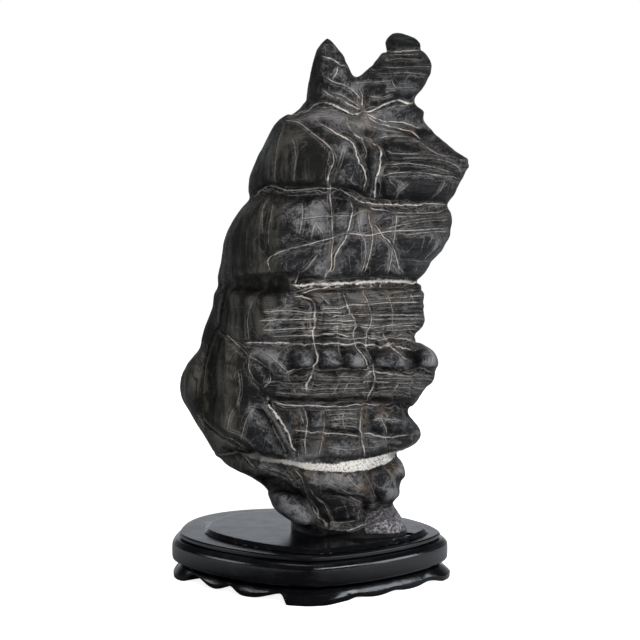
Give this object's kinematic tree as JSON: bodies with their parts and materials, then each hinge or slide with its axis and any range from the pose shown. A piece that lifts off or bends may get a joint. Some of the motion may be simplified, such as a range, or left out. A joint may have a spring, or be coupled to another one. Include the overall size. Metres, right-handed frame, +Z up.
{
  "type": "scholar's rock on a carved stand",
  "caption": "Upright slab of dark stone with pale veins, bedding joints and two horns on top, resting in the socket of a low moulded wooden stand with scroll feet.",
  "frame": {"origin": "middle of the bounding box on the floor, under the stand", "axes": "+Z up, -Y towards the viewer (the stone's broad veined face), +X to the viewer's right"},
  "size_m": [0.2732, 0.2142, 0.5019],
  "materials": {
    "veined_stone": "dark charcoal limestone, smooth and faintly waxed, with thin grey-beige calcite veins and one rough white band",
    "black_lacquer": "black lacquered hardwood, semi-gloss, slightly worn on its edges"
  },
  "bodies": {
    "root": {"stone": "veined_stone", "stand_top": "black_lacquer", "stand_slab": "black_lacquer", "stand_apron": "black_lacquer"}
  },
  "joints": []
}
